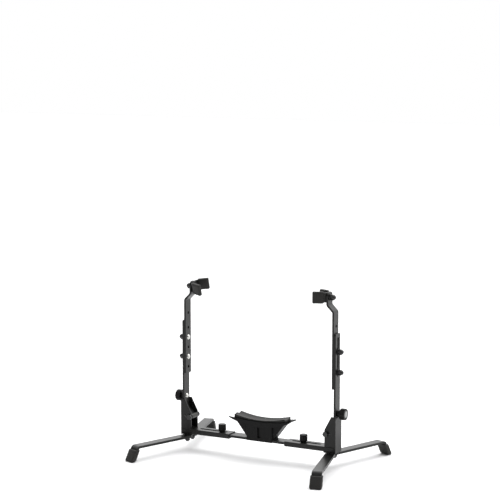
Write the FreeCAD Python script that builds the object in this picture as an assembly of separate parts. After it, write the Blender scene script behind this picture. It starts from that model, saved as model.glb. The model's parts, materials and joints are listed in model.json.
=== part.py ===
"""Floor stand for a small upright brass horn: a cradle on a telescopic crossbar, with a bracket,
two swivelling legs and a folding, height-adjustable arm with a padded fork at each end.

Millimetres. +Z is up, +X runs along the crossbar to the right, -Y is the front.
The origin is on the floor, midway between the two side brackets.
"""
import FreeCAD, Part
import math
import os

V = FreeCAD.Vector
AXIS_X = V(1, 0, 0)
AXIS_Y = V(0, 1, 0)
AXIS_Z = V(0, 0, 1)

# ---- driving dimensions ------------------------------------------------------------------------
HALF_WIDTH = 176.1        # outer face of each bracket's web from the origin, as set
CRADLE_X = 6.6            # middle of the centre bar: the two sides are drawn out unequally
EASE = 0.1                # gap between parts that only touch
SLIDE_GAP = 0.3           # gap between parts that slide or turn on each other's faces
FIT = 0.05                # radial gap round a shank in a plain hole
TURNING_FIT = 0.06        # radial gap round a shank in a knob or fork that turns on it
THREAD_FIT = 0.02         # radial gap round a shank in its nut
THROUGH = 40.0            # length of a drill that goes right through any bar or flange

# legs and feet
LEG_TOP = 31.0
LEG_THICK = 5.0
LEG_WIDTH = 20.0
LEG_REACH = 134.8         # pivot bolt to the downward bend
LEG_SPLAY = {              # degrees outward from straight ahead or straight back, as set
    "left": {"front": 20.9, "rear": 14.4},
    "right": {"front": 14.4, "rear": 20.9},
}
LEG_DROP = 64.0           # slope of the turned-down end below horizontal
LEG_END_Z = 5.0
LEG_PIVOT_D = 13.0        # pivot bolt inboard of the web's outer face
LEG_PIVOT_Y = 10.2
LEG_BOLT_R = 2.95
LEG_BOLT_END = 18.0
LEG_HEAD_R = 3.9
LEG_HEAD_DEPTH = 1.2
FOOT_WIDTH = 25.0
FOOT_DEPTH = 13.0
FOOT_HEIGHT = 23.5

# crossbar
TUBE_WIDTH = 30.0
TUBE_HEIGHT = 10.0
TUBE_WALL = 1.5
TUBE_LENGTH = 112.5
TUBE_Z = 34.7             # underside of the outer bars
BAR_WIDTH = 26.0
BAR_THICK = 5.0
BAR_HALF_LENGTH = 110.0
SLOT_WIDTH = 7.4
TUBE_SLOT = (38.0, 102.0)  # inboard distances of the slot's two ends
STUD_X = 93.0             # clamp studs from the middle of the centre bar
STUD_R = 2.95
WIDTH_KNOB_R = 8.0
WIDTH_KNOB_HEIGHT = 13.1

# side bracket, folded from 2 mm sheet
SHEET = 2.0
BRACKET_WIDTH = 28.4
WEB_TOP = 104.0
FLANGE_TOP = 106.0
FLANGE_TOP_DEPTH = 9.7
FLANGE_SHOULDER = 79.0
BRACKET_DEPTH = 24.0
FOOT_PLATE_Z = 32.4
FOOT_PLATE_DEPTH = 26.0
PIVOT_D = 21.0
PIVOT_Z = 70.5
PIVOT_R = 3.0
PIVOT_FLATS = 10.0
PIVOT_NUT_HEIGHT = 4.4
BARREL_R = 5.5
STOP_D = 12.2
STOP_Z = 72.4
STOP_R = 2.5

# arms, 21 x 4 mm flat bar
ARM_WIDTH = 21.0
ARM_THICK = 4.0
LOWER_ARM_D = SHEET + 0.2              # outer face, inboard of the web's outer face
UPPER_ARM_D = LOWER_ARM_D + ARM_THICK + SLIDE_GAP
LOWER_ARM_BEND = 87.0                  # where the foot turns in towards the pivot
LOWER_ARM_TOP = 271.4
LOWER_SLOT = (185.5, 264.5)
ARM_SLOT_WIDTH = 7.0
UPPER_ARM_BOTTOM = 160.3
BEND_LOW = 314.5
BEND_HIGH = 327.5
BEND_SET = 13.0
UPPER_ARM_TOP = 353.5
HOLE_PITCH = 20.5
FIRST_HOLE_Z = 173.5
HOLE_COUNT = 5
TOP_HOLE_Z = 286.0
SCREW_HOLES = (1, 3)                   # the two holes of the row that hold the clamp screws
M6_R = 2.95
M6_HOLE_R = 3.2
M6_HEAD_R = 5.5
WASHER_THICK = 1.0

# lock knob, just above the bracket
LOCK_Z = 111.0
LOCK_KNOB_R = 11.5
LOCK_KNOB_LENGTH = 11.0
LOCK_NECK_R = 6.0
LOCK_NECK_LENGTH = 7.0

# fork at the top of each arm
FORK_Z = 342.5
FORK_THICK = 3.0
FORK_HEIGHT = 19.2
FORK_HALF = 8.8
FORK_REACH = 22.5
FORK_FLARE = 22.5
FORK_TILT = {"left": 16.0, "right": 0.0}   # degrees, front prong down is positive
COVER = 2.4

# cradle
CRADLE_BASE_HALF = 29.0
CRADLE_LIP_HALF = 69.0
CRADLE_LIP_Y = 18.0
CRADLE_HUB_Y = 15.0
CRADLE_WING_Y = 11.5
PAD_HALF = 57.0
PAD_Y = 15.5
SEAT_Z = 79.0             # lowest point of the seat
HORN_TUBE_R = 38.0        # radius of the horn's bottom bow tube that the seat is shaped for
HORN_BOW_R = 215.0        # radius along the bow, to its lowest line
SHELL_BOW_R = 430.0
PAD_THICK = 4.0
PAD_RIM = 11.0            # liner's rim above the lowest point of the seat
CRADLE_SCREW_X = 18.0     # from the middle of the centre bar
CRADLE_SCREW_R = 2.5

# ---- derived sizes -------------------------------------------------------------------------------
BAR_Z = TUBE_Z + TUBE_HEIGHT - TUBE_WALL - SLIDE_GAP - BAR_THICK
TUBE_TOP = TUBE_Z + TUBE_HEIGHT
UPPER_MID_D = UPPER_ARM_D + ARM_THICK / 2
TOP_MID_D = UPPER_MID_D + BEND_SET
FORK_MID_D = TOP_MID_D + ARM_THICK / 2 + EASE + FORK_THICK / 2
PRONG_LENGTH = FORK_REACH / math.cos(math.radians(FORK_FLARE))
SCREW_Z = [FIRST_HOLE_Z + HOLE_PITCH * n for n in SCREW_HOLES]


def x_at(d):
    """X of a point d inboard of the right-hand web's outer face."""
    return HALF_WIDTH - d


# ---- general shapes ------------------------------------------------------------------------------
def box(x0, x1, y0, y1, z0, z1):
    return Part.makeBox(x1 - x0, y1 - y0, z1 - z0, V(x0, y0, z0))


def rod(radius, length, start, axis):
    return Part.makeCylinder(radius, length, start, axis)


def ring(outer, inner, length, start, axis):
    return rod(outer, length, start, axis).cut(rod(inner, length, start, axis))


def drilled(shape, radius, centre, axis):
    """The shape with a round hole drilled through it along axis, in line with centre."""
    return shape.cut(rod(radius, THROUGH, centre - axis * (THROUGH / 2), axis))


def prism(points, travel):
    return Part.Face(Part.makePolygon(points + [points[0]])).extrude(travel)


def hexagon(across_flats, length, start, axis):
    """A hexagonal prism with one pair of flats level."""
    side = V(0, 0, 1) if abs(axis.z) < 0.5 else V(0, 1, 0)
    cross = axis.cross(side)
    corner_r = across_flats / math.sqrt(3)
    turns = [math.radians(60 * n) for n in range(6)]
    corners = [start + cross * (corner_r * math.cos(t)) + side * (corner_r * math.sin(t)) for t in turns]
    return prism(corners, axis * length)


def domed(radius, height, start, axis):
    """A low dome that stands on the plane through start, such as a round screw head."""
    side = V(0, 0, 1) if abs(axis.z) < 0.5 else V(0, 1, 0)
    ball_r = (radius ** 2 + height ** 2) / (2 * height)
    rim = start + side * radius
    top = start + axis * height
    centre = top - axis * ball_r
    middle = centre + ((rim - centre) + (top - centre)).normalize() * ball_r
    edges = [
        Part.LineSegment(start, rim).toShape(),
        Part.Arc(rim, middle, top).toShape(),
        Part.LineSegment(top, start).toShape(),
    ]
    return Part.Face(Part.Wire(edges)).revolve(start, axis, 360)


def dome_nut(across_flats, grip, dome, start, axis):
    """A cap nut: a hexagon with a rounded cap on top."""
    chamfer = 0.3
    cap = domed(across_flats / 2 - chamfer, dome, start + axis * grip, axis)
    return hexagon(across_flats, grip, start, axis).fuse(cap).removeSplitter()


def bent_outline(path, bend_r, thick):
    """The closed outline of a flat bar of the given thickness, bent along a path of 2-D points.

    Each corner of the path is an arc of radius bend_r on the bar's middle line.
    """
    points = [V(u, v, 0) for u, v in path]
    ways = [(b - a).normalize() for a, b in zip(points, points[1:])]
    sides = []
    for offset in (thick / 2, -thick / 2):
        edges = []
        here = points[0] + AXIS_Z.cross(ways[0]) * offset
        for corner, way_in, way_out in zip(points[1:-1], ways, ways[1:]):
            turn = math.copysign(1, way_in.cross(way_out).z)
            reach = bend_r * math.tan(way_in.getAngle(way_out) / 2)
            centre = corner - way_in * reach + AXIS_Z.cross(way_in) * (turn * bend_r)
            radius = bend_r - turn * offset
            start = corner - way_in * reach + AXIS_Z.cross(way_in) * offset
            end = corner + way_out * reach + AXIS_Z.cross(way_out) * offset
            middle = centre + (corner - centre).normalize() * radius
            edges.append(Part.LineSegment(here, start).toShape())
            edges.append(Part.Arc(start, middle, end).toShape())
            here = end
        last = points[-1] + AXIS_Z.cross(ways[-1]) * offset
        edges.append(Part.LineSegment(here, last).toShape())
        sides.append(edges)
    one, other = sides
    cap_start = Part.LineSegment(one[0].Vertexes[0].Point, other[0].Vertexes[0].Point).toShape()
    cap_end = Part.LineSegment(one[-1].Vertexes[-1].Point, other[-1].Vertexes[-1].Point).toShape()
    return Part.Wire(Part.__sortEdges__(one + [cap_end] + other + [cap_start]))


def bent_bar(path, bend_r, thick, width):
    """A bent flat bar: the path lies in the XZ plane and the bar's width is centred on Y = 0."""
    face = Part.Face(bent_outline(path, bend_r, thick))
    face.rotate(V(0, 0, 0), AXIS_X, 90)
    solid = face.extrude(V(0, width, 0))
    solid.translate(V(0, -width / 2, 0))
    return solid


def bent_band(path, bend_r, thick, height, middle_z):
    """A bent band: the path lies in the XY plane and the band's height is centred on middle_z."""
    face = Part.Face(bent_outline(path, bend_r, thick))
    solid = face.extrude(V(0, 0, height))
    solid.translate(V(0, 0, middle_z - height / 2))
    return solid


def rounded_blank(width, z0, z1, r_low, r_high):
    """A blank seen along X, with its low and high corners rounded, long enough for any part."""
    blank = box(0, 2 * HALF_WIDTH, -width / 2, width / 2, z0, z1)
    for z, radius in ((z0, r_low), (z1, r_high)):
        edges = [e for e in blank.Edges if abs(e.BoundBox.XLength - 2 * HALF_WIDTH) < 1
                 and abs(e.BoundBox.Center.z - z) < 0.01]
        blank = blank.makeFillet(radius, edges)
    return blank


def slot_along(axis, width, start, length, across, depth):
    """A round-ended slot cutter: it runs from start along axis, and is cut depth deep along across."""
    radius = width / 2
    end = start + axis * length
    first = start + axis * radius
    last = end - axis * radius
    side = axis.cross(across) * radius
    body = prism([first - side, last - side, last + side, first + side], across * depth)
    return body.fuse([rod(radius, depth, first, across), rod(radius, depth, last, across)])


def rounded(shape, radius, chosen):
    """Fillets the edges for which chosen(edge) is true."""
    return shape.makeFillet(radius, [e for e in shape.Edges if chosen(e)])


def fluted(radius, length, start, axis, count, flute_r, depth):
    """A grip with round flutes along its rim and softened ends."""
    grip = rod(radius, length, start, axis)
    end_r = 1.2
    grip = grip.makeFillet(end_r, [e for e in grip.Edges if e.Closed])
    side = V(0, 0, 1) if abs(axis.z) < 0.5 else V(0, 1, 0)
    centre_r = radius + flute_r - depth
    for n in range(count):
        way = FreeCAD.Rotation(axis, 360.0 * n / count).multVec(side)
        grip = grip.cut(rod(flute_r, length + 2, start + way * centre_r - axis, axis))
    return grip


# ---- crossbar and cradle -------------------------------------------------------------------------
def centre_bar():
    half = BAR_WIDTH / 2
    bar = box(CRADLE_X - BAR_HALF_LENGTH, CRADLE_X + BAR_HALF_LENGTH, -half, half, BAR_Z, BAR_Z + BAR_THICK)
    for offset, radius in ((STUD_X, STUD_R + FIT), (CRADLE_SCREW_X, CRADLE_SCREW_R + EASE)):
        for x in (CRADLE_X - offset, CRADLE_X + offset):
            bar = drilled(bar, radius, V(x, 0, BAR_Z), AXIS_Z)
    return bar


def bow(radius_along, radius_across, low_z):
    """The bottom bow of a horn: a ring-shaped tube whose lowest point is at low_z."""
    centre = V(CRADLE_X, 0, low_z + radius_along)
    return Part.makeTorus(radius_along - radius_across, radius_across, centre, AXIS_Y)


def cradle_lip():
    """The boat-shaped upper flange: flat along its top, deeper in the middle than at its tips."""
    half = CRADLE_LIP_HALF
    top_z = 86.6
    tip_z = 82.6
    keel_z = 67.5
    corner_r = 3.5
    left_top = V(CRADLE_X - half, -CRADLE_LIP_Y, top_z)
    right_top = V(CRADLE_X + half, -CRADLE_LIP_Y, top_z)
    left_tip = V(CRADLE_X - half, -CRADLE_LIP_Y, tip_z)
    right_tip = V(CRADLE_X + half, -CRADLE_LIP_Y, tip_z)
    keel = V(CRADLE_X, -CRADLE_LIP_Y, keel_z)
    edges = [
        Part.LineSegment(left_tip, left_top).toShape(),
        Part.LineSegment(left_top, right_top).toShape(),
        Part.LineSegment(right_top, right_tip).toShape(),
        Part.Arc(right_tip, keel, left_tip).toShape(),
    ]
    lip = Part.Face(Part.Wire(edges)).extrude(V(0, 2 * CRADLE_LIP_Y, 0))
    upright = [e for e in lip.Edges if abs(e.BoundBox.ZLength - (top_z - tip_z)) < 0.01]
    return lip.makeFillet(corner_r, upright)


def cradle_pedestal():
    """A hub that straddles the bar, with a groove down its middle, between two flared wings."""
    base_z = BAR_Z - EASE
    wing_foot = base_z + 6.0
    wing_top = 76.0
    flare = 54.0
    groove_half = 3.8
    corner_r = 1.5
    hub = box(CRADLE_X - CRADLE_BASE_HALF, CRADLE_X + CRADLE_BASE_HALF, -CRADLE_HUB_Y, CRADLE_HUB_Y,
              base_z, wing_top)
    for y0, y1 in ((-CRADLE_HUB_Y, -CRADLE_WING_Y), (CRADLE_WING_Y, CRADLE_HUB_Y)):
        hub = hub.cut(box(CRADLE_X - groove_half, CRADLE_X + groove_half, y0, y1, TUBE_TOP, wing_top))
    hub = rounded(hub, corner_r, lambda e: abs(e.BoundBox.ZLength - (wing_top - base_z)) < 0.01)
    outline = [(-CRADLE_BASE_HALF, wing_foot), (CRADLE_BASE_HALF, wing_foot), (flare, wing_top),
               (-flare, wing_top)]
    corners = [V(CRADLE_X + x, -CRADLE_WING_Y, z) for x, z in outline]
    wings = prism(corners, V(0, 2 * CRADLE_WING_Y, 0))
    return hub.fuse(wings)


def cradle_body():
    """The moulded shell: saddled over the bar, troughed for its liner, with two screw holes below."""
    pilot_depth = 30.0
    body = cradle_pedestal().fuse(cradle_lip())
    body = body.cut(bow(SHELL_BOW_R, HORN_TUBE_R + PAD_THICK, SEAT_Z - PAD_THICK))
    channel = BAR_WIDTH / 2 + EASE
    body = body.cut(box(CRADLE_X - CRADLE_LIP_HALF, CRADLE_X + CRADLE_LIP_HALF, -channel, channel,
                        0, BAR_Z + BAR_THICK + EASE))
    for x in (CRADLE_X - CRADLE_SCREW_X, CRADLE_X + CRADLE_SCREW_X):
        body = body.cut(rod(CRADLE_SCREW_R + FIT, pilot_depth, V(x, 0, BAR_Z), AXIS_Z))
    return body.removeSplitter()


def cradle_pad():
    """The rubber liner: its underside follows the shell and its top follows the horn's bow."""
    blank_low = SEAT_Z - 2 * PAD_THICK
    rim_z = SEAT_Z + PAD_RIM
    corner_r = 3.0
    blank = box(CRADLE_X - PAD_HALF, CRADLE_X + PAD_HALF, -PAD_Y, PAD_Y, blank_low, rim_z)
    blank = rounded(blank, corner_r, lambda e: abs(e.BoundBox.ZLength - (rim_z - blank_low)) < 0.01)
    pad = blank.common(bow(SHELL_BOW_R, HORN_TUBE_R + PAD_THICK - EASE, SEAT_Z - PAD_THICK + EASE))
    return pad.cut(bow(HORN_BOW_R, HORN_TUBE_R, SEAT_Z))


def cradle_screws():
    """Two screws up through the centre bar into the cradle, their heads under the bar."""
    head_r = 4.6
    head_height = 2.7
    shank_length = 17.0
    screws = []
    for x in (CRADLE_X - CRADLE_SCREW_X, CRADLE_X + CRADLE_SCREW_X):
        seat = V(x, 0, BAR_Z - EASE)
        head = domed(head_r, head_height, seat, V(0, 0, -1))
        shank = rod(CRADLE_SCREW_R, shank_length, seat, AXIS_Z)
        screws.append(head.fuse(shank).removeSplitter())
    return Part.makeCompound(screws)


def width_stud(x):
    """A clinch stud through the centre bar, its low head inside the outer bar."""
    head_r = 4.5
    head_height = 1.1
    shank_length = 18.5
    seat = V(x, 0, BAR_Z - EASE)
    head = rod(head_r, head_height, seat, V(0, 0, -1))
    shank = rod(STUD_R, shank_length, seat, AXIS_Z)
    return head.fuse(shank).removeSplitter()


def width_knob(x):
    """A small fluted plastic knob with a collar that bears on the outer bar."""
    seat_z = TUBE_TOP + SLIDE_GAP
    collar_r = 6.0
    collar_height = 3.0
    grip_z = seat_z + 2.4
    flutes = 12
    flute_r = 1.4
    flute_depth = 0.8
    bore_top = seat_z + 12.6
    collar = rod(collar_r, collar_height, V(x, 0, seat_z), AXIS_Z)
    grip = fluted(WIDTH_KNOB_R, WIDTH_KNOB_HEIGHT, V(x, 0, grip_z), AXIS_Z, flutes, flute_r, flute_depth)
    bore = rod(STUD_R + TURNING_FIT, bore_top - TUBE_TOP, V(x, 0, TUBE_TOP), AXIS_Z)
    return collar.fuse(grip).cut(bore).removeSplitter()


# ---- right-hand side: outer bar, bracket and legs -------------------------------------------------
def outer_bar():
    """Rectangular tube that slides on the centre bar, slotted along its top for the clamp stud."""
    corner_r = 1.6
    x0 = x_at(TUBE_LENGTH)
    x1 = x_at(SHEET + EASE)
    half = TUBE_WIDTH / 2
    tube = box(x0, x1, -half, half, TUBE_Z, TUBE_TOP)
    tube = rounded(tube, corner_r, lambda e: abs(e.BoundBox.XLength - (x1 - x0)) < 0.01)
    inner = half - TUBE_WALL
    tube = tube.cut(box(x0, x1, -inner, inner, TUBE_Z + TUBE_WALL, TUBE_TOP - TUBE_WALL))
    near, far = TUBE_SLOT
    slot_floor = V(x_at(far), 0, TUBE_TOP - 2 * TUBE_WALL)
    return tube.cut(slot_along(AXIS_X, SLOT_WIDTH, slot_floor, far - near, AXIS_Z, 3 * TUBE_WALL))


def bracket_flange(y0, y1):
    """One side of the bracket: full depth round the pivot bolt, then sloping to a narrow top."""
    foot_z = TUBE_TOP + EASE
    outline = [(0, foot_z), (BRACKET_DEPTH, foot_z), (BRACKET_DEPTH, FLANGE_SHOULDER),
               (FLANGE_TOP_DEPTH, FLANGE_TOP), (0, FLANGE_TOP)]
    corners = [V(x_at(d), y0, z) for d, z in outline]
    return prism(corners, V(0, y1 - y0, 0))


def countersunk(radius, head_r, top, depth):
    """A cone that narrows downward from top, as wide as a flush screw head."""
    return Part.makeCone(head_r, radius, depth, top, V(0, 0, -1))


def bracket():
    """Folded sheet: a web, a flange each side of the arm's foot, and a plate under the outer bar."""
    half = BRACKET_WIDTH / 2
    plate_top = TUBE_Z - EASE
    web = box(x_at(SHEET), x_at(0), -half, half, FOOT_PLATE_Z, WEB_TOP)
    foot = box(x_at(FOOT_PLATE_DEPTH), x_at(0), -half, half, FOOT_PLATE_Z, plate_top)
    shape = web.fuse([foot, bracket_flange(-half, -half + SHEET), bracket_flange(half - SHEET, half)])
    shape = shape.removeSplitter()
    for d, z, radius in ((PIVOT_D, PIVOT_Z, PIVOT_R), (STOP_D, STOP_Z, STOP_R)):
        shape = drilled(shape, radius + EASE, V(x_at(d), 0, z), AXIS_Y)
    for y in (-LEG_PIVOT_Y, LEG_PIVOT_Y):
        centre = V(x_at(LEG_PIVOT_D), y, plate_top)
        shape = shape.cut(rod(LEG_BOLT_R + EASE, 2 * SHEET, centre, V(0, 0, -1)))
        shape = shape.cut(countersunk(LEG_BOLT_R + EASE, LEG_HEAD_R + EASE, centre, LEG_HEAD_DEPTH))
    return shape


def stop_pin():
    """A riveted cross pin that the arm's foot leans on when the arm stands upright."""
    half = BRACKET_WIDTH / 2 + EASE
    head_r = 3.4
    head_height = 1.4
    front = V(x_at(STOP_D), -half, STOP_Z)
    rear = V(x_at(STOP_D), half, STOP_Z)
    shank = rod(STOP_R, 2 * half, front, AXIS_Y)
    heads = [domed(head_r, head_height, front, V(0, -1, 0)), domed(head_r, head_height, rear, AXIS_Y)]
    return shank.fuse(heads).removeSplitter()


def leg_bolts():
    """Flush-headed bolts in the foot plate, one for each leg, pointing down."""
    bolts = []
    for y in (-LEG_PIVOT_Y, LEG_PIVOT_Y):
        top = V(x_at(LEG_PIVOT_D), y, TUBE_Z - EASE)
        head = countersunk(LEG_BOLT_R, LEG_HEAD_R, top, LEG_HEAD_DEPTH)
        shank = rod(LEG_BOLT_R, top.z - LEG_BOLT_END, top, V(0, 0, -1))
        bolts.append(head.fuse(shank).removeSplitter())
    return Part.makeCompound(bolts)


def leg_nuts():
    """Lock nuts below the legs, each with a round collar."""
    across_flats = 10.0
    nut_height = 4.4
    collar_r = 4.6
    collar_height = 5.9
    top_z = LEG_TOP - LEG_THICK - EASE
    nuts = []
    for y in (-LEG_PIVOT_Y, LEG_PIVOT_Y):
        top = V(x_at(LEG_PIVOT_D), y, top_z)
        nut = hexagon(across_flats, nut_height, top, V(0, 0, -1))
        nut = nut.fuse(rod(collar_r, collar_height, top, V(0, 0, -1))).removeSplitter()
        nuts.append(drilled(nut, LEG_BOLT_R + FIT, top, AXIS_Z))
    return Part.makeCompound(nuts)


def leg_washers():
    """Thin washers between the legs and the foot plate."""
    outer_r = 7.0
    thick = FOOT_PLATE_Z - LEG_TOP - 2 * EASE
    return Part.makeCompound([
        ring(outer_r, LEG_BOLT_R + EASE, thick, V(x_at(LEG_PIVOT_D), y, LEG_TOP + EASE), AXIS_Z)
        for y in (-LEG_PIVOT_Y, LEG_PIVOT_Y)])


def drop_run(z):
    """How far out from the bend the leg's middle line is, when it has come down to z."""
    return LEG_REACH + (LEG_TOP - LEG_THICK / 2 - z) / math.tan(math.radians(LEG_DROP))


def to_leg(shape, end, splay):
    """Carries a shape drawn along +X from the origin to the front or rear leg's place."""
    way = -1 if end == "front" else 1
    shape.rotate(V(0, 0, 0), AXIS_Z, way * (90 - splay))
    shape.translate(V(x_at(LEG_PIVOT_D), way * LEG_PIVOT_Y, 0))
    return shape


def leg():
    """Flat bar along +X, rounded at its pivot and turned down at its outer end."""
    middle_z = LEG_TOP - LEG_THICK / 2
    end_r = LEG_WIDTH / 2
    neck = 6.0
    bend_r = 7.0
    bar = bent_bar([(neck, middle_z), (LEG_REACH, middle_z), (drop_run(LEG_END_Z), LEG_END_Z)], bend_r,
                   LEG_THICK, LEG_WIDTH)
    eye = rod(end_r, LEG_THICK, V(0, 0, LEG_TOP - LEG_THICK), AXIS_Z)
    link = box(0, neck + 1, -end_r, end_r, LEG_TOP - LEG_THICK, LEG_TOP)
    shape = bar.fuse([eye, link]).removeSplitter()
    return drilled(shape, LEG_BOLT_R + FIT, V(0, 0, middle_z), AXIS_Z)


def slanted_block(width, depth, z0, z1):
    """A block that leans outward with the turned-down end, level on top and underneath."""
    u = drop_run(z0)
    corners = [V(u - depth / 2, -width / 2, z0), V(u + depth / 2, -width / 2, z0),
               V(u + depth / 2, width / 2, z0), V(u - depth / 2, width / 2, z0)]
    return prism(corners, V(drop_run(z1) - u, 0, z1 - z0))


def foot():
    """Moulded rubber boot, pushed over the leg's end."""
    corner_r = 2.0
    mouth_r = 1.0
    slack = 0.2
    sole = LEG_END_Z - 1.5
    pocket_depth = LEG_THICK / math.sin(math.radians(LEG_DROP)) + slack
    boot = slanted_block(FOOT_WIDTH, FOOT_DEPTH, 0, FOOT_HEIGHT)
    boot = rounded(boot, corner_r, lambda e: e.BoundBox.ZLength > FOOT_HEIGHT - 0.1)
    boot = rounded(boot, mouth_r, lambda e: abs(e.BoundBox.Center.z - FOOT_HEIGHT) < 0.01)
    return boot.cut(slanted_block(LEG_WIDTH + slack, pocket_depth, sole, FOOT_HEIGHT + 1))


# ---- right-hand side: arm -------------------------------------------------------------------------
def pivot_bolt():
    """Hexagon-headed bolt through both flanges, its head at the front."""
    head_height = 4.2
    start = V(x_at(PIVOT_D), -BRACKET_WIDTH / 2 - EASE, PIVOT_Z)
    head = hexagon(PIVOT_FLATS, head_height, start, V(0, -1, 0))
    shank = rod(PIVOT_R, BRACKET_WIDTH + PIVOT_NUT_HEIGHT + 1.0, start, AXIS_Y)
    return head.fuse(shank).removeSplitter()


def pivot_nut():
    start = V(x_at(PIVOT_D), BRACKET_WIDTH / 2 + EASE, PIVOT_Z)
    return drilled(hexagon(PIVOT_FLATS, PIVOT_NUT_HEIGHT, start, AXIS_Y), PIVOT_R + FIT, start, AXIS_Y)


def pivot_sleeve():
    """The turned sleeve welded to the lower arm's foot, a running fit on the pivot bolt."""
    half = BRACKET_WIDTH / 2 - SHEET - SLIDE_GAP
    return ring(BARREL_R, PIVOT_R + FIT, 2 * half, V(x_at(PIVOT_D), -half, PIVOT_Z), AXIS_Y)


def lower_arm():
    """Slotted flat bar whose foot slants inward to the pivot sleeve."""
    bend_r = 5.0
    foot_corner_r = 1.0
    top_corner_r = 3.0
    middle_x = x_at(LOWER_ARM_D + ARM_THICK / 2)
    path = [(x_at(PIVOT_D), PIVOT_Z), (middle_x, LOWER_ARM_BEND), (middle_x, LOWER_ARM_TOP)]
    bar = bent_bar(path, bend_r, ARM_THICK, ARM_WIDTH)
    bar = bar.common(rounded_blank(ARM_WIDTH, 0, LOWER_ARM_TOP, foot_corner_r, top_corner_r))
    bar = drilled(bar, BARREL_R + EASE, V(x_at(PIVOT_D), 0, PIVOT_Z), AXIS_Y)
    bar = drilled(bar, M6_HOLE_R, V(middle_x, 0, LOCK_Z), AXIS_X)
    low, high = LOWER_SLOT
    slot_start = V(middle_x - ARM_THICK, 0, low)
    return bar.cut(slot_along(AXIS_Z, ARM_SLOT_WIDTH, slot_start, high - low, AXIS_X, 2 * ARM_THICK))


def lock_bolt():
    """Bright round-headed bolt on the lower arm's inner face; its shank carries the knob."""
    head_height = 3.0
    shank_length = 17.5
    seat = V(x_at(LOWER_ARM_D + ARM_THICK + EASE), 0, LOCK_Z)
    head = domed(M6_HEAD_R, head_height, seat, V(-1, 0, 0))
    return head.fuse(rod(M6_R, shank_length, seat, AXIS_X)).removeSplitter()


def lock_knob():
    """Large fluted plastic knob with a neck that bears on the lower arm."""
    flutes = 10
    flute_r = 2.4
    flute_depth = 1.3
    dish_r = 7.0
    dish_depth = 0.8
    bore_depth = 13.5
    start = V(x_at(LOWER_ARM_D - SLIDE_GAP), 0, LOCK_Z)
    grip_start = start + AXIS_X * LOCK_NECK_LENGTH
    neck = rod(LOCK_NECK_R, LOCK_NECK_LENGTH + 1, start, AXIS_X)
    grip = fluted(LOCK_KNOB_R, LOCK_KNOB_LENGTH, grip_start, AXIS_X, flutes, flute_r, flute_depth)
    dish = rod(dish_r, 2 * dish_depth, grip_start + AXIS_X * (LOCK_KNOB_LENGTH - dish_depth), AXIS_X)
    bore = rod(M6_R + FIT, bore_depth, start, AXIS_X)
    return neck.fuse(grip).removeSplitter().cut([dish, bore])


def upper_arm():
    """Flat bar with a row of holes, set inward near its rounded top."""
    bend_r = 6.0
    foot_corner_r = 2.0
    top_corner_r = 8.5
    path = [(x_at(UPPER_MID_D), UPPER_ARM_BOTTOM), (x_at(UPPER_MID_D), BEND_LOW),
            (x_at(TOP_MID_D), BEND_HIGH), (x_at(TOP_MID_D), UPPER_ARM_TOP)]
    bar = bent_bar(path, bend_r, ARM_THICK, ARM_WIDTH)
    bar = bar.common(rounded_blank(ARM_WIDTH, UPPER_ARM_BOTTOM, UPPER_ARM_TOP, foot_corner_r, top_corner_r))
    for z in [FIRST_HOLE_Z + HOLE_PITCH * n for n in range(HOLE_COUNT)] + [TOP_HOLE_Z]:
        bar = drilled(bar, M6_HOLE_R, V(x_at(UPPER_MID_D), 0, z), AXIS_X)
    return drilled(bar, M6_R + FIT, V(x_at(TOP_MID_D), 0, FORK_Z), AXIS_X)


def height_screws():
    """Bright pan-head screws on the upper arm's inner face."""
    head_height = 2.9
    shank_length = 15.0
    screws = []
    for z in SCREW_Z:
        seat = V(x_at(UPPER_ARM_D + ARM_THICK + EASE), 0, z)
        head = domed(M6_HEAD_R, head_height, seat, V(-1, 0, 0))
        screws.append(head.fuse(rod(M6_R, shank_length, seat, AXIS_X)).removeSplitter())
    return Part.makeCompound(screws)


def height_washers():
    outer_r = 6.3
    start = x_at(LOWER_ARM_D - EASE)
    return Part.makeCompound([
        ring(outer_r, M6_R + EASE, WASHER_THICK, V(start, 0, z), AXIS_X) for z in SCREW_Z])


def height_nuts():
    """Cap nuts on the arm's outer face, one for each height screw."""
    across_flats = 10.5
    grip = 6.8
    dome = 4.2
    thread_depth = 6.5
    nuts = []
    for z in SCREW_Z:
        seat = V(x_at(LOWER_ARM_D - EASE - WASHER_THICK - EASE), 0, z)
        nut = dome_nut(across_flats, grip, dome, seat, AXIS_X)
        nuts.append(nut.cut(rod(M6_R + THREAD_FIT, thread_depth, seat, AXIS_X)))
    return Part.makeCompound(nuts)


def holder_bolt():
    """Round-headed bolt that the fork swivels on."""
    head_r = 5.2
    head_height = 3.0
    shank_length = 13.6
    seat = V(x_at(FORK_MID_D + FORK_THICK / 2 + EASE), 0, FORK_Z)
    head = domed(head_r, head_height, seat, V(-1, 0, 0))
    return head.fuse(rod(M6_R, shank_length, seat, AXIS_X)).removeSplitter()


def holder_nut():
    """Cap nut with a washer face, on the outer side of the arm's top."""
    washer_r = 6.4
    across_flats = 11.0
    grip = 6.6
    dome = 4.3
    thread_depth = 6.7
    seat = V(x_at(TOP_MID_D - ARM_THICK / 2 - EASE), 0, FORK_Z)
    washer = rod(washer_r, WASHER_THICK + EASE, seat, AXIS_X)
    nut = dome_nut(across_flats, grip, dome, seat + AXIS_X * WASHER_THICK, AXIS_X)
    return washer.fuse(nut).removeSplitter().cut(rod(M6_R + THREAD_FIT, thread_depth, seat, AXIS_X))


def prong_path(start, end):
    """Along one prong, from start to end measured from its bend, on the rear side (+Y)."""
    flare = math.radians(FORK_FLARE)
    return [(x_at(FORK_MID_D + s * math.cos(flare)), FORK_HALF + s * math.sin(flare)) for s in (start, end)]


def straight_band(start, end, thick, height):
    """A straight block along the rear prong, from start to end measured from its bend."""
    return bent_band(prong_path(start, end), 0, thick, height, FORK_Z)


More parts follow.
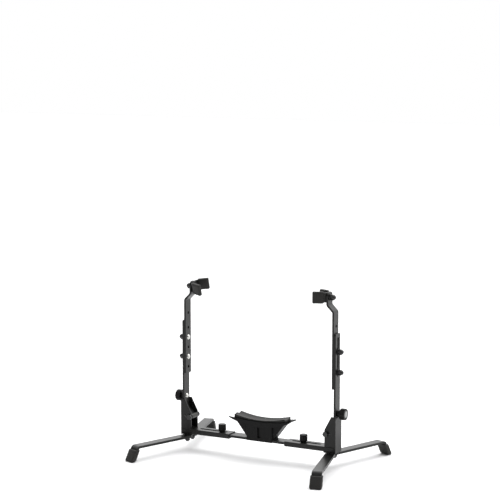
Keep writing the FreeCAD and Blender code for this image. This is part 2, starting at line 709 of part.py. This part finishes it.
def holder_fork():
    """A band of flat bar, bent to an open U that the horn's tube lies in."""
    bend_r = 4.5
    root, tip = prong_path(0, PRONG_LENGTH)
    path = [(tip[0], -tip[1]), (root[0], -root[1]), root, tip]
    fork = bent_band(path, bend_r, FORK_THICK, FORK_HEIGHT, FORK_Z)
    return drilled(fork, M6_R + TURNING_FIT, V(x_at(FORK_MID_D), 0, FORK_Z), AXIS_X)


def holder_covers():
    """A moulded rubber cover, closed at its tip, pushed over each prong."""
    mouth = 4.0
    corner_r = 2.2
    rim_r = 0.9
    thick = FORK_THICK + 2 * COVER
    height = FORK_HEIGHT + 2 * COVER
    cover = straight_band(mouth, PRONG_LENGTH + COVER, thick, height)
    cover = rounded(cover, corner_r, lambda e: abs(e.BoundBox.ZLength - height) < 0.01)
    cover = rounded(cover, rim_r, lambda e: e.BoundBox.ZLength < 0.01)
    cover = cover.cut(straight_band(0, PRONG_LENGTH + EASE, FORK_THICK + 2 * EASE, FORK_HEIGHT + 2 * EASE))
    return Part.makeCompound([cover, cover.mirror(V(0, 0, 0), AXIS_Y)])


# ---- assembly -------------------------------------------------------------------------------------
def tilted(shape, side):
    """Swings a fork part about its bolt: a positive tilt takes the front prong down."""
    shape.rotate(V(0, 0, FORK_Z), AXIS_X, FORK_TILT[side])
    return shape


def save(name, shape):
    shape.exportStep("parts/" + name + ".step")


SIDE_PARTS = {
    "outer_bar": outer_bar,
    "bracket": bracket,
    "stop_pin": stop_pin,
    "leg_bolts": leg_bolts,
    "leg_nuts": leg_nuts,
    "leg_washers": leg_washers,
    "pivot_bolt": pivot_bolt,
    "pivot_nut": pivot_nut,
    "pivot_sleeve": pivot_sleeve,
    "lower_arm": lower_arm,
    "lock_bolt": lock_bolt,
    "lock_knob": lock_knob,
    "upper_arm": upper_arm,
    "height_screws": height_screws,
    "height_washers": height_washers,
    "height_nuts": height_nuts,
    "holder_bolt": holder_bolt,
    "holder_nut": holder_nut,
}
FORK_PARTS = {"holder_fork": holder_fork, "holder_covers": holder_covers}

os.makedirs("parts", exist_ok=True)

save("centre_bar", centre_bar())
save("cradle_body", cradle_body())
save("cradle_pad", cradle_pad())
save("cradle_screws", cradle_screws())

for side, way in (("left", -1), ("right", 1)):
    stud_x = CRADLE_X + way * STUD_X
    save("width_stud_" + side, width_stud(stud_x))
    save("width_knob_" + side, width_knob(stud_x))
    shapes = {name: make() for name, make in SIDE_PARTS.items()}
    shapes.update({name: tilted(make(), side) for name, make in FORK_PARTS.items()})
    for end, splay in LEG_SPLAY[side].items():
        shapes[end + "_leg"] = to_leg(leg(), end, splay)
        shapes[end + "_foot"] = to_leg(foot(), end, splay)
    for name, shape in shapes.items():
        if side == "left":
            shape = shape.mirror(V(0, 0, 0), AXIS_X)
        save(name + "_" + side, shape)
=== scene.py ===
import json
import math

import bmesh
import bpy
from mathutils import Matrix, Vector


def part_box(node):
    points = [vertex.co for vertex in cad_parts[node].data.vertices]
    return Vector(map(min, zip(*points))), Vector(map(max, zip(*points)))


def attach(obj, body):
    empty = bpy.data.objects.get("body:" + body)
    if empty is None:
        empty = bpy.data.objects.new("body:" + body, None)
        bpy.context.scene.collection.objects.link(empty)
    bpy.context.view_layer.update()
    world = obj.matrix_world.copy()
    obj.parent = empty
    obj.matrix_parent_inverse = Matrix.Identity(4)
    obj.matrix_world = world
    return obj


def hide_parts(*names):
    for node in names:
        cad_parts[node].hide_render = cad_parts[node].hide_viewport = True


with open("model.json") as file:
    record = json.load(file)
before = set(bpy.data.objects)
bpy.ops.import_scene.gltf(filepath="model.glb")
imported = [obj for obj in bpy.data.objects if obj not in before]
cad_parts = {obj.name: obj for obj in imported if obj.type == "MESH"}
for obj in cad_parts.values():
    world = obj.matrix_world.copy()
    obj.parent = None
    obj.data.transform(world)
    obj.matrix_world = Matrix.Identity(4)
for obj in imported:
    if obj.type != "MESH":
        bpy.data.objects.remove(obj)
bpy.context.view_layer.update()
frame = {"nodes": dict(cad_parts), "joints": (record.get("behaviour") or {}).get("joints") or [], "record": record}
MM = 0.001
SIDES = {"left": -1, "right": 1}
joints = {joint["name"]: joint for joint in frame["joints"]}


# ---- steel bars and brackets ---------------------------------------------------------------------
# Flat bar, rectangular tube and folded 2 mm sheet in mild steel. Cut, punched, bent and then
# powder coated black: a satin skin with a fine orange peel that thins over the sharp edges. Those
# edges are painted paler, partly as worn thin coat and partly as a painted edge highlight.

def linear(colour):
    """An sRGB hex colour as the linear one that shaders take."""
    parts = [int(colour[n:n + 2], 16) / 255 for n in (1, 3, 5)]
    return [c / 12.92 if c <= 0.04045 else ((c + 0.055) / 1.055) ** 2.4 for c in parts] + [1.0]


def add(tree, kind, values=(), links=(), **settings):
    """Adds one node with its settings, its socket values and its links from other nodes' sockets."""
    made = tree.nodes.new(kind)
    for key, value in settings.items():
        setattr(made, key, value)
    for key, value in dict(values).items():
        made.inputs[key].default_value = value
    for key, source in dict(links).items():
        tree.links.new(source, made.inputs[key])
    return made


def surface(name, dark, light, patch_mm, grain_mm, bump_mm, roughness, spread, edge=None, **shader):
    """A skin whose colour drifts between two shades, with a fine bumpy grain and, if asked, paler edges that are
    partly wear and partly a painted edge highlight.
    """
    material = bpy.data.materials.new(name)
    material.use_nodes = True
    tree = material.node_tree
    tree.nodes.clear()
    place = add(tree, "ShaderNodeTexCoord").outputs["Object"]
    patches = add(tree, "ShaderNodeTexNoise", {"Scale": 1000 / patch_mm, "Detail": 4.0, "Roughness": 0.6},
                  {"Vector": place})
    grain = add(tree, "ShaderNodeTexNoise", {"Scale": 1000 / grain_mm, "Detail": 2.0}, {"Vector": place})
    colour = add(tree, "ShaderNodeMix", {6: linear(dark), 7: linear(light)}, {0: patches.outputs[0]},
                 data_type="RGBA").outputs[2]
    soft = add(tree, "ShaderNodeBevel", {"Radius": 0.5 * MM}, samples=6)
    # Edges within the bevel radius are painted paler: partly wear, partly a painted edge highlight.
    if edge:
        flat = add(tree, "ShaderNodeNewGeometry").outputs["Normal"]
        turn = add(tree, "ShaderNodeVectorMath", (), {0: soft.outputs[0], 1: flat}, operation="DOT_PRODUCT")
        edge_wear_and_highlight = add(tree, "ShaderNodeMapRange", {1: 0.995, 2: 0.90, 3: 0.0, 4: 0.55},
                     {0: turn.outputs["Value"]})
        colour = add(tree, "ShaderNodeMix", {7: linear(edge)}, {0: edge_wear_and_highlight.outputs[0], 6: colour},
                     data_type="RGBA").outputs[2]
    gloss = add(tree, "ShaderNodeMapRange", {3: roughness - spread, 4: roughness + spread},
                {0: patches.outputs[0]}).outputs[0]
    bump = add(tree, "ShaderNodeBump", {"Strength": 1.0, "Distance": bump_mm * MM},
               {"Height": grain.outputs[0], "Normal": soft.outputs[0]})
    skin = add(tree, "ShaderNodeBsdfPrincipled", shader,
               {"Base Color": colour, "Roughness": gloss, "Normal": bump.outputs[0]})
    add(tree, "ShaderNodeOutputMaterial", (), {"Surface": skin.outputs[0]})
    return material


def paint(names, material):
    for name in names:
        for slot in frame["nodes"][name].material_slots:
            slot.material = material


def both(*names):
    return [name + "_" + side for name in names for side in SIDES]


# Satin black polyester powder coat: the 1.6 mm orange peel breaks up its reflections. Such a coat has
# an IOR of about 1.5. It is set lower, to match how dark the object's upright faces are.
# Its paler edge colour stands partly for wear and partly for a painted edge highlight.
powder_coat = surface("powder_coated_steel", "#101110", "#181817", 60, 1.6, 0.03, 0.34, 0.05,
                      edge="#2c2c2a", IOR=1.34)
paint(["centre_bar"] + both("outer_bar", "bracket", "lower_arm", "upper_arm", "front_leg", "rear_leg",
                            "holder_fork"), powder_coat)


# ---- bolts, nuts and pins ------------------------------------------------------------------------
# Steel fasteners. The round screw heads are bright zinc plated; the leg hardware, cap nuts, pivot
# bolts and stop pins are dipped black, a little glossier than the powder coat. The sleeves are oiled.

def plated(name, dark, light, roughness):
    """Bare or plated metal: an even 0.5 mm grain under a cloudy, slightly uneven gloss."""
    return surface(name, dark, light, 7, 0.5, 0.012, roughness, 0.06, Metallic=1.0)


bright_zinc = plated("bright_zinc_plated_steel", "#b9b9b4", "#dedfdb", 0.27)
# Its paler edge colour stands partly for wear and partly for a painted edge highlight.
black_dip = surface("black_oxide_steel", "#0e0e0f", "#161617", 9, 0.7, 0.012, 0.28, 0.05,
                    edge="#363635", IOR=1.5)
turned_sleeve = plated("oiled_bare_steel", "#2e2e2d", "#454543", 0.38)
paint(["cradle_screws"] + both("lock_bolt", "height_screws", "holder_bolt", "width_stud"), bright_zinc)
paint(both("stop_pin", "pivot_bolt", "pivot_nut", "height_nuts", "height_washers", "holder_nut",
           "leg_bolts", "leg_nuts", "leg_washers"), black_dip)
paint(both("pivot_sleeve"), turned_sleeve)


THREAD_RIDGES, THREAD_PITCH, THREAD_R, RIDGE_R, THREAD_START = 3, 0.7, 2.95, 0.22, 0.35


def thread_tree():
    """Geometry nodes that stack fine ridges up a bolt's bare end."""
    tree = bpy.data.node_groups.new("thread_ridges", "GeometryNodeTree")
    sizes = {"Ridges": ("NodeSocketInt", THREAD_RIDGES), "Pitch": ("NodeSocketFloat", THREAD_PITCH * MM),
             "Radius": ("NodeSocketFloat", THREAD_R * MM), "Ridge": ("NodeSocketFloat", RIDGE_R * MM)}
    for name, (kind, value) in sizes.items():
        tree.interface.new_socket(name, in_out="INPUT", socket_type=kind).default_value = value
    tree.interface.new_socket("Material", in_out="INPUT", socket_type="NodeSocketMaterial")
    tree.interface.new_socket("Geometry", in_out="OUTPUT", socket_type="NodeSocketGeometry")
    given = add(tree, "NodeGroupInput").outputs
    step = add(tree, "ShaderNodeCombineXYZ", (), {2: given["Pitch"]})
    places = add(tree, "GeometryNodeMeshLine", (), {"Count": given["Ridges"], "Offset": step.outputs[0]})
    loop = add(tree, "GeometryNodeCurvePrimitiveCircle", {"Resolution": 24}, {"Radius": given["Radius"]})
    edge = add(tree, "GeometryNodeCurvePrimitiveCircle", {"Resolution": 6}, {"Radius": given["Ridge"]})
    ridge = add(tree, "GeometryNodeCurveToMesh", (), {0: loop.outputs[0], 1: edge.outputs[0]})
    stack = add(tree, "GeometryNodeInstanceOnPoints", (),
                {"Points": places.outputs[0], "Instance": ridge.outputs[0]})
    real = add(tree, "GeometryNodeRealizeInstances", (), {0: stack.outputs[0]})
    done = add(tree, "GeometryNodeSetMaterial", (),
               {"Geometry": real.outputs[0], "Material": given["Material"]})
    add(tree, "NodeGroupOutput", (), {0: done.outputs[0]})
    return tree


def grown(tree, values):
    """The plain mesh that a geometry node tree makes from these input values, set by identifier."""
    holder = bpy.data.objects.new("growing", bpy.data.meshes.new("growing"))
    bpy.context.scene.collection.objects.link(holder)
    modifier = holder.modifiers.new("nodes", "NODES")
    modifier.node_group = tree
    sockets = {item.name: item.identifier for item in tree.interface.items_tree if item.in_out == "INPUT"}
    for name, value in values.items():
        modifier[sockets[name]] = value
    bpy.context.view_layer.update()
    mesh = bpy.data.meshes.new_from_object(holder.evaluated_get(bpy.context.evaluated_depsgraph_get()))
    bpy.data.objects.remove(holder)
    return mesh


def piece(name, parts, body, material):
    """One finished object at the origin, made of (mesh, place) parts and riding on a body."""
    made = bmesh.new()
    for mesh, place in parts:
        copy = mesh.copy()
        copy.transform(place)
        made.from_mesh(copy)
    bmesh.ops.recalc_face_normals(made, faces=made.faces)
    mesh = bpy.data.meshes.new(name)
    made.to_mesh(mesh)
    mesh.materials.clear()
    mesh.materials.append(material)
    for face in mesh.polygons:
        face.use_smooth = True
        face.material_index = 0
    thing = bpy.data.objects.new(name, mesh)
    bpy.context.scene.collection.objects.link(thing)
    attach(thing, body)
    return thing


thread = grown(thread_tree(), {"Ridges": THREAD_RIDGES, "Pitch": THREAD_PITCH * MM, "Material": black_dip})
for side in SIDES:
    foot_of_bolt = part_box("leg_bolts_" + side)[0].z
    ends = []
    for end in ("front", "rear"):
        pivot = joints[end + "_leg_turn_" + side]["pos_m"]
        ends.append((thread, Matrix.Translation((pivot[0], pivot[1], foot_of_bolt + THREAD_START * MM))))
    piece("leg_bolt_threads_" + side, ends, "side_" + side, black_dip)


# ---- knobs and cradle shell ----------------------------------------------------------------------
# Injection-moulded black nylon: fluted hand knobs over a steel stud, and the one-piece cradle that
# sits on the centre bar. A fine spark-eroded texture gives a soft, even sheen. Nylon's IOR is about
# 1.53. It is set lower, to match how dark the object's knobs and cradle are.

# Its paler edge colour stands partly for wear and partly for a painted edge highlight.
moulded_nylon = surface("moulded_black_nylon", "#0a0a0a", "#101010", 45, 0.9, 0.02, 0.44, 0.05,
                        edge="#1c1c1c", IOR=1.25)
paint(["cradle_body"] + both("lock_knob", "width_knob"), moulded_nylon)

# The snap-in cap of each lock knob is smoother than its grip; its pale grey colour is a painted
# highlight for the light it catches.
knob_cap_painted_highlight = surface("nylon_cap_painted_highlight", "#7c7d7d", "#8d8e8d", 20, 1.2, 0.006, 0.24, 0.04, IOR=1.53)


def turned(profile, steps):
    """A closed turned form about +Z from (radius, height) points that start and end on the axis."""
    made = bmesh.new()
    rings = []
    for radius, height in profile:
        if radius == 0:
            rings.append([made.verts.new((0, 0, height))])
            continue
        turns = [2 * math.pi * n / steps for n in range(steps)]
        rings.append([made.verts.new((radius * math.cos(t), radius * math.sin(t), height)) for t in turns])
    for low, high in zip(rings, rings[1:]):
        for n in range(steps):
            m = (n + 1) % steps
            corners = [low[n % len(low)], low[m % len(low)], high[m % len(high)], high[n % len(high)]]
            made.faces.new(list(dict.fromkeys(corners)))
    mesh = bpy.data.meshes.new("turned")
    made.to_mesh(mesh)
    return mesh


CAP_SUNK = 0.75
cap_profile = [(0, 0), (6.5, 0), (6.8, 0.2), (6.8, 0.75), (6.4, 1.05), (4.0, 1.35), (0, 1.5)]
cap = turned([(r * MM, h * MM) for r, h in cap_profile], 48)
for side, way in SIDES.items():
    low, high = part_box("lock_knob_" + side)
    face = high.x if way > 0 else low.x
    centre = joints["lock_knob_turn_" + side]["pos_m"]
    place = Matrix.Translation((face - way * CAP_SUNK * MM, 0, centre[2]))
    place = place @ Matrix.Rotation(way * math.pi / 2, 4, "Y")
    piece("lock_knob_cap_" + side, [(cap, place)], "lock_knob_" + side, knob_cap_painted_highlight)


# ---- cradle liner --------------------------------------------------------------------------------
# A moulded rubber liner laid in the cradle, 4 mm thick in the middle and thicker at its ends. Its top
# is hollowed to the horn's bottom bow; its rim is rounded over, and its edges are painted paler, partly
# as wear from use and partly as a painted edge highlight.

# Rubber's IOR is about 1.52. It is set lower, to match how dark the object's boots are.
# Its paler edge colour stands partly for wear and partly for a painted edge highlight.
soft_rubber = surface("moulded_black_rubber", "#1a1a19", "#252422", 25, 0.8, 0.03, 0.62, 0.07,
                      edge="#3a3834", IOR=1.38)


def hollow(x, y, bow_r, tube_r):
    """Height above its lowest point of a trough left by a bow of tube, x along it and y across it."""
    across = bow_r - tube_r + math.sqrt(tube_r ** 2 - y ** 2)
    return bow_r - math.sqrt(across ** 2 - x ** 2)


liner_low, liner_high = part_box("cradle_pad")
HALF_LONG = (liner_high.x - liner_low.x) / 2 / MM
HALF_WIDE = (liner_high.y - liner_low.y) / 2 / MM
LINER_THICK = 4.0
CORNER_LONG, CORNER_PINCH = 4.0, 0.12
RIM_R, RIM_DROP, RIM_HIGH = 1.6, 1.0, 14.3
SHELL_GAP = 0.15
BOW_R, SHELL_R, HORN_TUBE_R = 215.0, 430.0, 38.0
ROWS, LINES = 60, 20
middle_x = (liner_high.x + liner_low.x) / 2 / MM
base_z = liner_low.z / MM
made = bmesh.new()
sheets = []
for top in (True, False):
    grid = []
    for i in range(ROWS + 1):
        x = HALF_LONG * math.sin(math.pi / 2 * (2 * i / ROWS - 1))
        row = []
        for j in range(LINES + 1):
            y = HALF_WIDE * math.sin(math.pi / 2 * (2 * j / LINES - 1))
            end = max(0.0, abs(x) - (HALF_LONG - CORNER_LONG)) / CORNER_LONG
            y *= 1 - CORNER_PINCH * end ** 3
            edge = min(HALF_LONG - abs(x), HALF_WIDE - abs(y), RIM_R) / RIM_R
            roll = RIM_DROP * (1 - math.sqrt(max(0.0, 1 - (1 - edge) ** 2)))
            if top:
                z = min(hollow(x, y, BOW_R, HORN_TUBE_R) + LINER_THICK, RIM_HIGH) - roll
            else:
                z = hollow(x, y, SHELL_R, HORN_TUBE_R + LINER_THICK) + SHELL_GAP
            row.append(made.verts.new(((middle_x + x) * MM, y * MM, (base_z + z) * MM)))
        grid.append(row)
    sheets.append(grid)
for grid in sheets:
    for i in range(ROWS):
        for j in range(LINES):
            made.faces.new((grid[i][j], grid[i + 1][j], grid[i + 1][j + 1], grid[i][j + 1]))
tops, unders = sheets
rim = [(i, 0) for i in range(ROWS)] + [(ROWS, j) for j in range(LINES)]
rim += [(i, LINES) for i in range(ROWS, 0, -1)] + [(0, j) for j in range(LINES, 0, -1)]
for (i, j), (k, l) in zip(rim, rim[1:] + rim[:1]):
    made.faces.new((tops[i][j], tops[k][l], unders[k][l], unders[i][j]))
liner_mesh = bpy.data.meshes.new("liner")
made.to_mesh(liner_mesh)
liner = piece("cradle_liner", [(liner_mesh, Matrix.Identity(4))], "crossbar", soft_rubber)
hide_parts("cradle_pad")


# ---- rubber boots --------------------------------------------------------------------------------
# A moulded rubber boot pushed over the turned-down end of each leg. It leans with the leg, stands flat
# on the floor, and has fine ribs round it so that it can be gripped and pulled off.

SLOPE = 64.0
BOOT_HALF_WIDE, BOOT_HALF_DEEP, BOOT_HIGH = 12.1, 6.1, 23.4
SOLE_R, MOUTH_R = 3.2, 1.3
SQUARE_DEEP, SQUARE_WIDE = 0.38, 0.30
PLAIN_LEVELS = (7.0, 12.0, 17.0)
RIBS, RIB_FOOT, RIB_PITCH, RIB_R = 8, 4.2, 1.9, 0.34


def lean(z):
    """How far inward of its sole the boot's middle is at height z, in mm."""
    return z / math.tan(math.radians(SLOPE))


def boot_ring(z, inset, steps=56):
    """The boot's outline at height z, drawn in by inset, round the middle of its sole."""
    points = []
    for n in range(steps):
        turn = 2 * math.pi * n / steps
        c, s = math.cos(turn), math.sin(turn)
        x = (BOOT_HALF_DEEP - inset) * math.copysign(abs(c) ** SQUARE_DEEP, c) - lean(z)
        y = (BOOT_HALF_WIDE - inset) * math.copysign(abs(s) ** SQUARE_WIDE, s)
        points.append(Vector((x, y, z)) * MM)
    return points


def boot_shell():
    levels = [(SOLE_R * (1 - math.cos(t)), SOLE_R * (1 - math.sin(t)))
              for t in [math.radians(15 * n) for n in range(1, 7)]]
    levels += [(z, 0.0) for z in PLAIN_LEVELS]
    levels += [(BOOT_HIGH - MOUTH_R * (1 - math.sin(t)), MOUTH_R * (1 - math.cos(t)))
               for t in [math.radians(18 * n) for n in range(6)]]
    made = bmesh.new()
    made_rings = [[made.verts.new(point) for point in boot_ring(z, inset)] for z, inset in levels]
    for low, high in zip(made_rings, made_rings[1:]):
        for n in range(len(low)):
            m = (n + 1) % len(low)
            made.faces.new((low[n], low[m], high[m], high[n]))
    made.faces.new(list(reversed(made_rings[0])))
    made.faces.new(made_rings[-1])
    mesh = bpy.data.meshes.new("boot")
    made.to_mesh(mesh)
    return mesh


def outline_object():
    """The boot's outline at its lowest rib, as a closed curve for the ribs to follow."""
    curve = bpy.data.curves.new("boot_outline", "CURVE")
    curve.dimensions = "3D"
    spline = curve.splines.new("POLY")
    points = boot_ring(RIB_FOOT, 0.0)
    spline.points.add(len(points) - 1)
    for point, place in zip(spline.points, points):
        point.co = (*place, 1.0)
    spline.use_cyclic_u = True
    return bpy.data.objects.new("boot_outline", curve)


def rib_tree():
    """Geometry nodes for ribs round an outline, stacked up the boot's slope."""
    tree = bpy.data.node_groups.new("boot_ribs", "GeometryNodeTree")
    sizes = {"Ribs": ("NodeSocketInt", RIBS), "Step": ("NodeSocketVector", (0, 0, RIB_PITCH * MM)),
             "Thickness": ("NodeSocketFloat", RIB_R * MM)}
    for name, (kind, value) in sizes.items():
        tree.interface.new_socket(name, in_out="INPUT", socket_type=kind).default_value = value
    tree.interface.new_socket("Outline", in_out="INPUT", socket_type="NodeSocketObject")
    tree.interface.new_socket("Material", in_out="INPUT", socket_type="NodeSocketMaterial")
    tree.interface.new_socket("Geometry", in_out="OUTPUT", socket_type="NodeSocketGeometry")
    given = add(tree, "NodeGroupInput").outputs
    outline = add(tree, "GeometryNodeObjectInfo", (), {"Object": given["Outline"]})
    edge = add(tree, "GeometryNodeCurvePrimitiveCircle", {"Resolution": 8}, {"Radius": given["Thickness"]})
    rib = add(tree, "GeometryNodeCurveToMesh", (), {0: outline.outputs["Geometry"], 1: edge.outputs[0]})
    places = add(tree, "GeometryNodeMeshLine", (), {"Count": given["Ribs"], "Offset": given["Step"]})
    stack = add(tree, "GeometryNodeInstanceOnPoints", (),
                {"Points": places.outputs[0], "Instance": rib.outputs[0]})
    real = add(tree, "GeometryNodeRealizeInstances", (), {0: stack.outputs[0]})
    done = add(tree, "GeometryNodeSetMaterial", (),
               {"Geometry": real.outputs[0], "Material": given["Material"]})
    add(tree, "NodeGroupOutput", (), {0: done.outputs[0]})
    return tree


shell = boot_shell()
ribs = grown(rib_tree(), {"Ribs": RIBS, "Step": (-lean(RIB_PITCH) * MM, 0, RIB_PITCH * MM),
                          "Thickness": RIB_R * MM, "Outline": outline_object(), "Material": soft_rubber})
soles = {mount["name"]: Vector(mount["pos_m"]) for mount in frame["record"]["mounts"]}
for side in SIDES:
    for end in ("front", "rear"):
        sole = soles["foot_" + end + "_" + side]
        reach = sole - Vector(joints[end + "_leg_turn_" + side]["pos_m"])
        place = Matrix.Translation(sole) @ Matrix.Rotation(math.atan2(reach.y, reach.x), 4, "Z")
        parts = [(mesh, place) for mesh in (shell, ribs)]
        boot = piece(end + "_boot_" + side, parts, end + "_leg_" + side, soft_rubber)
        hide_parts(end + "_foot_" + side)


# ---- fork covers ---------------------------------------------------------------------------------
# Thick rubber covers pushed over the fork's prongs, so the horn's lacquer never meets steel. They are
# slightly crowned on their broad faces and rounded along every edge.

FLARE, PRONG_HALF, PRONG_LONG, COVER = 22.5, 8.8, 24.35, 2.4
COVER_START = 4.0
STRIP_THICK, COVER_SHY, COVER_HIGH, COVER_EDGE, COVER_CROWN = 3.0, 0.4, 23.6, 2.2, 0.25
FORK_TILT = {"left": 16.0, "right": 0.0}


def crowned_block(long, thick, high, edge, crown):
    """A closed block about its own middle with rounded edges and gently swelling faces."""
    made = bmesh.new()
    bmesh.ops.create_cube(made, size=2.0)
    bmesh.ops.subdivide_edges(made, edges=made.edges, cuts=11, use_grid_fill=True)
    half = Vector((long / 2, thick / 2, high / 2))
    for vert in made.verts:
        unit = vert.co.copy()
        point = Vector(unit[n] * half[n] for n in range(3))
        inner = Vector(max(-half[n] + edge, min(half[n] - edge, point[n])) for n in range(3))
        if (point - inner).length > 1e-9:
            point = inner + (point - inner).normalized() * edge
        point.y += math.copysign(crown * (1 - unit.x ** 2) * (1 - unit.z ** 2), unit.y) * (abs(unit.y) > 0.99)
        vert.co = point * MM
    mesh = bpy.data.meshes.new("cover")
    made.to_mesh(mesh)
    return mesh


cover_long = PRONG_LONG + COVER - COVER_START
cover_thick = STRIP_THICK + 2 * COVER - COVER_SHY
cover_mesh = crowned_block(cover_long, cover_thick, COVER_HIGH, COVER_EDGE, COVER_CROWN)
for side, way in SIDES.items():
    pivot = Vector(joints["holder_turn_" + side]["pos_m"])
    parts = []
    for front in (-1, 1):
        along = COVER_START + cover_long / 2
        inward, outward = -way * math.cos(math.radians(FLARE)), front * math.sin(math.radians(FLARE))
        middle = Vector((inward * along, front * PRONG_HALF + outward * along, 0)) * MM
        heading = math.atan2(outward, inward)
        place = Matrix.Translation(pivot) @ Matrix.Rotation(math.radians(FORK_TILT[side]), 4, "X")
        parts.append((cover_mesh, place @ Matrix.Translation(middle) @ Matrix.Rotation(heading, 4, "Z")))
    covers = piece("fork_covers_" + side, parts, "holder_" + side, soft_rubber)
    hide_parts("holder_covers_" + side)


# ---- floor, light and camera ---------------------------------------------------------------------
# A plain pale floor under a bright studio: light comes from above and behind, and the camera's own side
# is dim, so upright black faces stay dark while tops and right-hand faces pick up a soft sheen.

FLOOR_HALF, FLOOR_DROP = 12, 0.0002
DIM_SIDE, BRIGHT_SIDE = 0.04, 1.7
EYE, AIM = (1.4649, -2.8113, 0.8454), (-0.0218, 0, 0.4250)
LENS, SENSOR = 115.1, 36

bpy.context.scene.view_settings.view_transform = "Standard"
made = bmesh.new()
bmesh.ops.create_grid(made, x_segments=1, y_segments=1, size=FLOOR_HALF)
floor_mesh = bpy.data.meshes.new("floor")
made.to_mesh(floor_mesh)
floor = bpy.data.objects.new("floor", floor_mesh)
floor.location.z = -FLOOR_DROP
bpy.context.scene.collection.objects.link(floor)
studio_floor = surface("pale_studio_floor", "#f2f2f3", "#f6f6f6", 900, 30, 0.01, 0.9, 0.02, IOR=1.3)
floor_mesh.materials.append(studio_floor)

world = bpy.data.worlds.new("studio")
bpy.context.scene.world = world
world.use_nodes = True
tree = world.node_tree
tree.nodes.clear()
way = add(tree, "ShaderNodeSeparateXYZ", (), {0: add(tree, "ShaderNodeTexCoord").outputs["Generated"]})
back = add(tree, "ShaderNodeMapRange", {1: -0.30, 2: 0.55, 3: DIM_SIDE, 4: BRIGHT_SIDE},
           {0: way.outputs["Y"]})
seen = add(tree, "ShaderNodeLightPath").outputs["Is Camera Ray"]
strength = add(tree, "ShaderNodeMix", {3: 1.0}, {0: seen, 2: back.outputs[0]}, data_type="FLOAT")
sky = add(tree, "ShaderNodeBackground", {"Color": linear("#ffffff")}, {"Strength": strength.outputs[0]})
add(tree, "ShaderNodeOutputWorld", (), {"Surface": sky.outputs[0]})

# A large softbox above and behind, aimed at the middle of the stand.
panel = bpy.data.lights.new("top_softbox", "AREA")
panel.shape = "SQUARE"
panel.size = 2.2
panel.energy = 26
softbox = bpy.data.objects.new("top_softbox", panel)
bpy.context.scene.collection.objects.link(softbox)
softbox.location = (0.3, 0.9, 2.4)
softbox.rotation_euler = (-softbox.location).to_track_quat("-Z", "Y").to_euler()

# A very wide overhead light keeps the floor evenly white and its shadows soft.
overhead = bpy.data.lights.new("overhead", "SUN")
overhead.energy = 2.0
overhead.angle = math.radians(120)
bpy.context.scene.collection.objects.link(bpy.data.objects.new("overhead", overhead))

camera = bpy.data.cameras.new("camera")
camera.lens = LENS
camera.sensor_width = SENSOR
eye = bpy.data.objects.new("camera", camera)
bpy.context.scene.collection.objects.link(eye)
eye.location = EYE
eye.rotation_euler = (Vector(AIM) - eye.location).to_track_quat("-Z", "Y").to_euler()
bpy.context.scene.camera = eye
